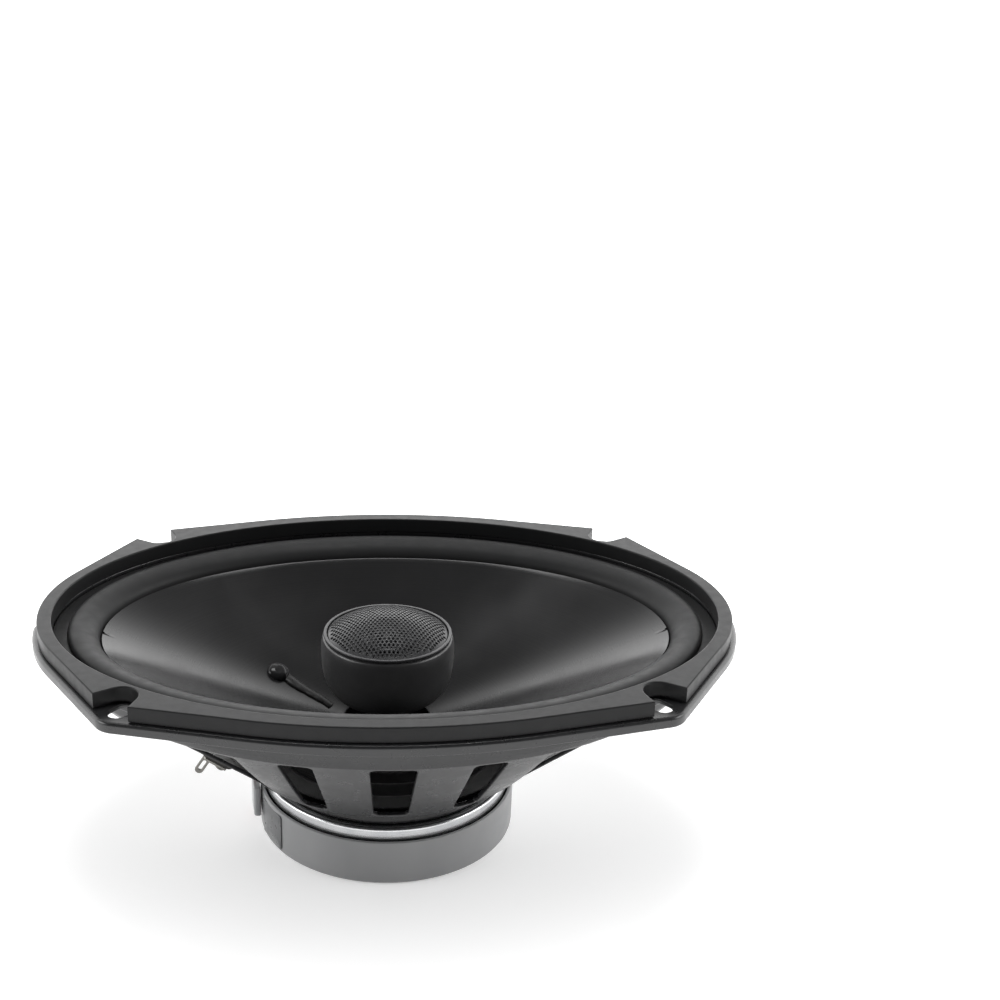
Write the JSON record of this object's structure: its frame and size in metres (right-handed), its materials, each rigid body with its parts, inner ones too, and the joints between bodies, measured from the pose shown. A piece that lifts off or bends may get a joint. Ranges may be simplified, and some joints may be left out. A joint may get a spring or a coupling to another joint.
{
  "type": "coaxial car speaker",
  "caption": "Oval coaxial car speaker with a stamped basket, glossy cone, rubber surround and a grilled dome tweeter on a centre post.",
  "frame": {"origin": "centre of the magnet boot's back face, under the middle of the oval flange", "axes": "+X along the long axis, away from the terminals; +Y along the short axis; +Z out of the cone towards the listener"},
  "size_m": [0.2358, 0.1666, 0.0809],
  "materials": {
    "painted_steel": "semi-gloss black paint",
    "gasket_rubber": "satin moulded dark grey",
    "surround_rubber": "matte with a soft sheen",
    "spider_cloth": "resin-stiffened woven cloth, dyed black",
    "zinc_plate": "bright zinc plate",
    "ferrite": "dull dark grey ceramic",
    "boot_rubber": "matte grey moulded rubber",
    "label_film": "blank matte film",
    "plain_steel": "zinc-plated steel",
    "cone_polymer": "glossy black, finely brushed in rings",
    "former_aluminium": "black-anodised satin foil",
    "copper_wire": "enamelled copper",
    "tinsel_braid": "braided tinsel",
    "terminal_plastic": "black phenolic board",
    "tinned_brass": "tin-plated brass",
    "post_plastic": "matte black moulding",
    "pod_plastic": "satin black moulding",
    "grille_metal": "satin black perforated steel",
    "nickel_magnet": "nickel plate",
    "dome_film": "coated dark film",
    "capacitor_film": "pale dipped epoxy",
    "red_insulation": "satin red insulation",
    "black_insulation": "satin black insulation"
  },
  "bodies": {
    "frame": {"basket": "painted_steel", "trim_gasket": "gasket_rubber", "surround": "surround_rubber", "spider": "spider_cloth", "top_plate": "zinc_plate", "ferrite_magnet": "ferrite", "yoke": "zinc_plate", "magnet_boot": "boot_rubber", "boot_label": "label_film", "plate_rivet_1": "plain_steel", "plate_rivet_2": "plain_steel", "plate_rivet_3": "plain_steel", "plate_rivet_4": "plain_steel", "tinsel_lead_front": "tinsel_braid", "tinsel_lead_back": "tinsel_braid", "terminal_board": "terminal_plastic", "board_rivet": "plain_steel", "negative_tab": "tinned_brass", "positive_tab": "tinned_brass", "negative_tab_rivet": "tinned_brass", "positive_tab_rivet": "tinned_brass", "tweeter_post": "post_plastic", "post_washer": "plain_steel", "post_nut": "plain_steel", "pod_nut": "plain_steel", "tweeter_housing": "pod_plastic", "tweeter_bezel": "grille_metal", "tweeter_grille": "grille_metal", "tweeter_faceplate": "pod_plastic", "tweeter_yoke": "plain_steel", "tweeter_magnet": "nickel_magnet", "tweeter_top_plate": "plain_steel", "crossover_capacitor": "capacitor_film", "capacitor_lead": "red_insulation", "tweeter_wire_positive": "red_insulation", "tweeter_wire_negative": "black_insulation"},
    "cone_assembly": {"cone": "cone_polymer", "voice_coil_former": "former_aluminium", "voice_coil_winding": "copper_wire", "lead_bead_front": "cone_polymer", "lead_bead_back": "cone_polymer", "coil_lead_front": "cone_polymer", "coil_lead_back": "cone_polymer"},
    "tweeter_diaphragm": {"tweeter_dome": "dome_film", "tweeter_coil": "copper_wire"}
  },
  "joints": [
    {"name": "cone_excursion", "type": "slide", "parent": "frame", "child": "cone_assembly", "axis": [0, 0, 1], "range_m": [-0.0045, 0.0045], "stiffness_N_per_m": 2500, "deforming": ["surround", "spider", "tinsel_lead_front", "tinsel_lead_back"]},
    {"name": "tweeter_dome_excursion", "type": "slide", "parent": "frame", "child": "tweeter_diaphragm", "axis": [0, 0, 1], "range_m": [-0.0003, 0.0003], "stiffness_N_per_m": 200}
  ]
}
